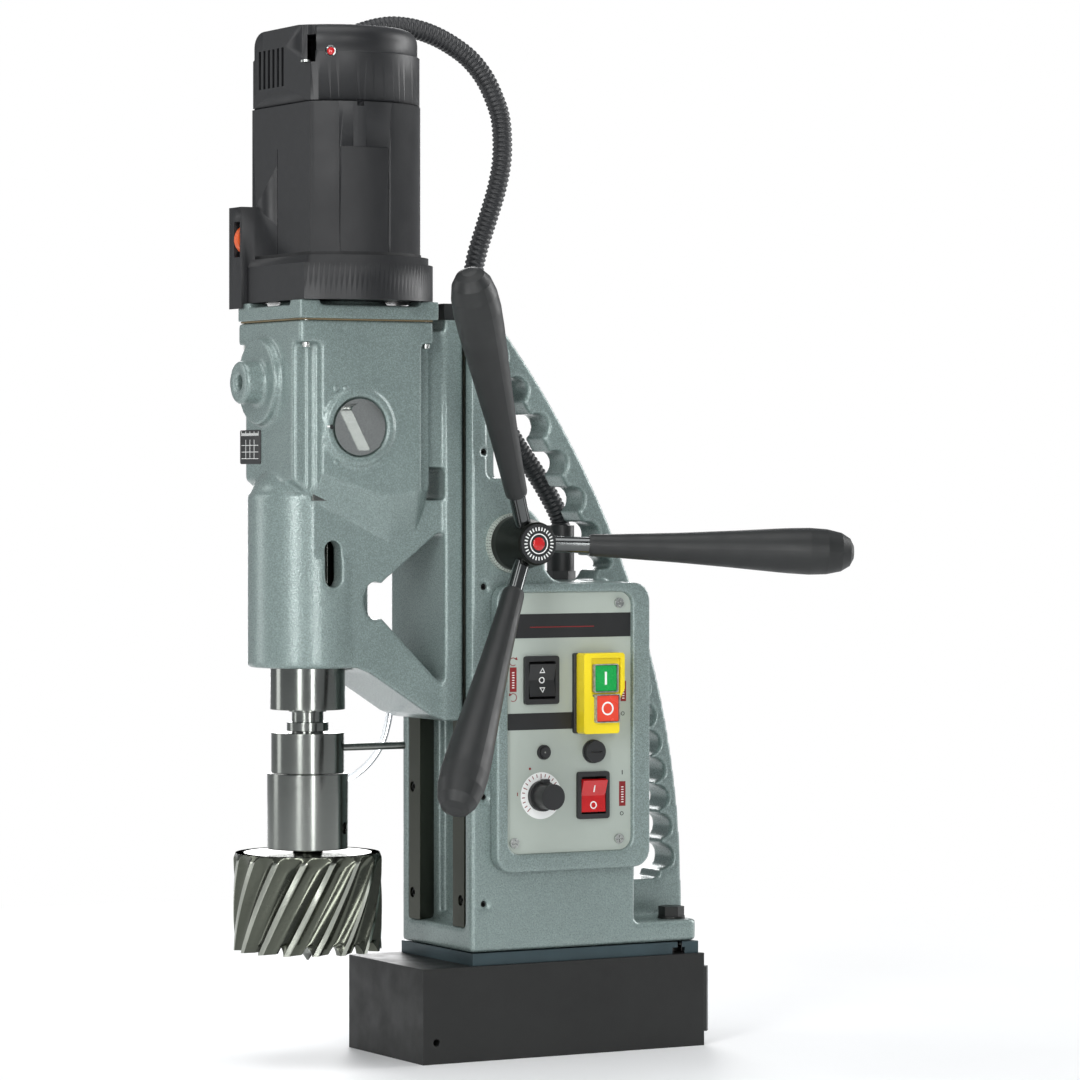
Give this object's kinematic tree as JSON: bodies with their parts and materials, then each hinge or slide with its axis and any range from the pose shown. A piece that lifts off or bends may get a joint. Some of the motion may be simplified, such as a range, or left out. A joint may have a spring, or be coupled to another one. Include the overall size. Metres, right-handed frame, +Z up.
{
  "type": "magnetic drill press",
  "caption": "Core drill on a sliding head over an electromagnet base, with a three-arm capstan, side control panel, scalloped rear handle and a gear case under an upright motor.",
  "frame": {"origin": "centre of the magnet's lower face, which clamps on the work", "axes": "+Z up along the column, -Y towards the drill, +X towards the control panel and capstan"},
  "size_m": [0.2503, 0.3812, 0.7071],
  "materials": {
    "magnet_black": "satin black baked paint",
    "resin": "potting resin",
    "black_plastic": "moulded black plastic, fine texture",
    "steel": "zinc plated",
    "plate_blue": "blue-black oxide",
    "grey_paint": "grey-green hammertone paint",
    "rail_steel": "oiled ground steel",
    "black_steel": "black oxide",
    "bronze": "bearing bronze",
    "collar": "satin aluminium, graduated",
    "ground_steel": "ground and turned",
    "panel_grey": "printed foil on aluminium",
    "red_plastic": "gloss, lit rocker",
    "yellow_plastic": "gloss",
    "green_plastic": "gloss",
    "stop_red": "gloss",
    "lamp": "smoked lens",
    "board": "circuit board",
    "conduit_black": "corrugated nylon",
    "gasket": "fibre gasket",
    "plate_alu": "milled",
    "armature_iron": "laminated iron",
    "motor_black": "moulded black plastic, satin",
    "orange": "gloss",
    "clear_tube": "clear hose",
    "cutter_steel": "ground high-speed steel"
  },
  "bodies": {
    "base": {"magnet_body": "magnet_black", "magnet_coils": "resin", "strap_bracket": "black_plastic", "bracket_screws": "steel", "swivel_plate": "plate_blue", "swivel_pin": "steel"},
    "stand": {"stand_foot": "grey_paint", "stand_housing": "grey_paint", "stand_column": "grey_paint", "rear_handle": "grey_paint", "guide_rails": "rail_steel", "stand_screws": "black_steel", "capstan_bushes": "bronze", "graduated_collar": "collar", "panel_frame": "grey_paint", "panel_sheet": "panel_grey", "panel_screws": "steel", "panel_sockets": "black_plastic", "starter_box": "yellow_plastic", "status_lamp": "lamp", "control_board": "board", "cable_glands": "black_plastic"},
    "head": {"head_casting": "grey_paint", "feed_rack": "rail_steel", "slide_bumper": "black_plastic", "case_gasket": "gasket", "case_cap": "grey_paint", "case_screws": "steel", "bearing_plate": "plate_alu", "ball_bearings": "ground_steel", "stator": "armature_iron", "motor_housing": "motor_black", "motor_cap": "motor_black", "coolant_ring": "ground_steel", "coolant_fittings": "bronze", "coolant_tube": "clear_tube", "conduit": "conduit_black"},
    "capstan": {"capstan_shaft": "ground_steel", "capstan_hub": "black_steel", "hub_cap": "black_plastic", "arm_rods": "black_steel", "arm_grips": "black_plastic"},
    "spindle": {"spindle": "ground_steel", "spindle_gear": "ground_steel", "arbor": "ground_steel", "core_cutter": "cutter_steel", "set_screws": "black_steel", "ejector_spring": "ground_steel"},
    "output_shaft": {"output_shaft": "ground_steel"},
    "middle_shaft": {"middle_shaft": "ground_steel"},
    "armature": {"armature": "armature_iron"},
    "pilot": {"pilot_pin": "ground_steel"},
    "selector": {"selector_knob": "ground_steel"},
    "speed_dial": {"speed_knob": "black_plastic"},
    "rotation_switch": {"rotation_rocker": "black_plastic"},
    "magnet_switch": {"magnet_rocker": "red_plastic"},
    "start_button": {"start_button": "green_plastic"},
    "stop_button": {"stop_button": "stop_red"},
    "fuse_cap": {"fuse_cap": "black_plastic"},
    "trim_wheel": {"trim_wheel": "orange"}
  },
  "joints": [
    {"name": "base_swivel", "type": "hinge", "parent": "base", "child": "stand", "pos_m": [0, 0, 0.0723], "axis": [0, 0, 1], "range_deg": [-7, 7]},
    {"name": "head_feed", "type": "slide", "parent": "stand", "child": "head", "axis": [0, 0, 1], "range_m": [-0.135, 0.11], "deforming": ["conduit", "coolant_tube"]},
    {"name": "capstan_turn", "type": "hinge", "parent": "stand", "child": "capstan", "pos_m": [0, -0.04, 0.349], "axis": [1, 0, 0], "range_deg": [-451, 553]},
    {"name": "spindle_spin", "type": "hinge", "parent": "head", "child": "spindle", "pos_m": [0, -0.169, 0.24], "axis": [0, 0, 1], "continuous": true},
    {"name": "output_shaft_spin", "type": "hinge", "parent": "head", "child": "output_shaft", "pos_m": [-0.01173, -0.12868, 0.43], "axis": [0, 0, 1], "continuous": true},
    {"name": "middle_shaft_spin", "type": "hinge", "parent": "head", "child": "middle_shaft", "pos_m": [0.018, -0.13265, 0.44], "axis": [0, 0, 1], "continuous": true},
    {"name": "armature_spin", "type": "hinge", "parent": "head", "child": "armature", "pos_m": [0, -0.15, 0.6], "axis": [0, 0, 1], "continuous": true},
    {"name": "pilot_press", "type": "slide", "parent": "spindle", "child": "pilot", "axis": [0, 0, 1], "range_m": [0, 0.03], "stiffness_N_per_m": 200, "springref_m": -0.02, "deforming": ["ejector_spring"]},
    {"name": "selector_turn", "type": "hinge", "parent": "head", "child": "selector", "pos_m": [0.05, -0.1545, 0.427], "axis": [1, 0, 0], "range_deg": [-60, 60]},
    {"name": "speed_dial_turn", "type": "hinge", "parent": "stand", "child": "speed_dial", "pos_m": [0.058, -0.0214, 0.1777], "axis": [1, 0, 0], "range_deg": [-135, 135]},
    {"name": "rotation_rock", "type": "hinge", "parent": "stand", "child": "rotation_switch", "pos_m": [0.057, -0.0218, 0.2561], "axis": [0, 1, 0], "range_deg": [-9, 9]},
    {"name": "magnet_rock", "type": "hinge", "parent": "stand", "child": "magnet_switch", "pos_m": [0.057, 0.0186, 0.1768], "axis": [0, 1, 0], "range_deg": [-16, 0]},
    {"name": "start_press", "type": "slide", "parent": "stand", "child": "start_button", "axis": [-1, 0, 0], "range_m": [0, 0.003], "stiffness_N_per_m": 900, "springref_m": -0.001},
    {"name": "stop_press", "type": "slide", "parent": "stand", "child": "stop_button", "axis": [-1, 0, 0], "range_m": [0, 0.004], "stiffness_N_per_m": 900, "springref_m": -0.001},
    {"name": "fuse_cap_turn", "type": "hinge", "parent": "stand", "child": "fuse_cap", "pos_m": [0.06, 0.019, 0.2066], "axis": [1, 0, 0], "range_deg": [0, 90]},
    {"name": "trim_wheel_turn", "type": "hinge", "parent": "head", "child": "trim_wheel", "pos_m": [-0.045, -0.1905, 0.555], "axis": [1, 0, 0], "range_deg": [-140, 140]}
  ],
  "couplings": [
    {"joint": "capstan_turn", "follows": "head_feed", "rad_per_m": -71.429},
    {"joint": "output_shaft_spin", "follows": "spindle_spin", "ratio": -2.8182},
    {"joint": "middle_shaft_spin", "follows": "spindle_spin", "ratio": 6.5758},
    {"joint": "armature_spin", "follows": "spindle_spin", "ratio": -22.65}
  ]
}
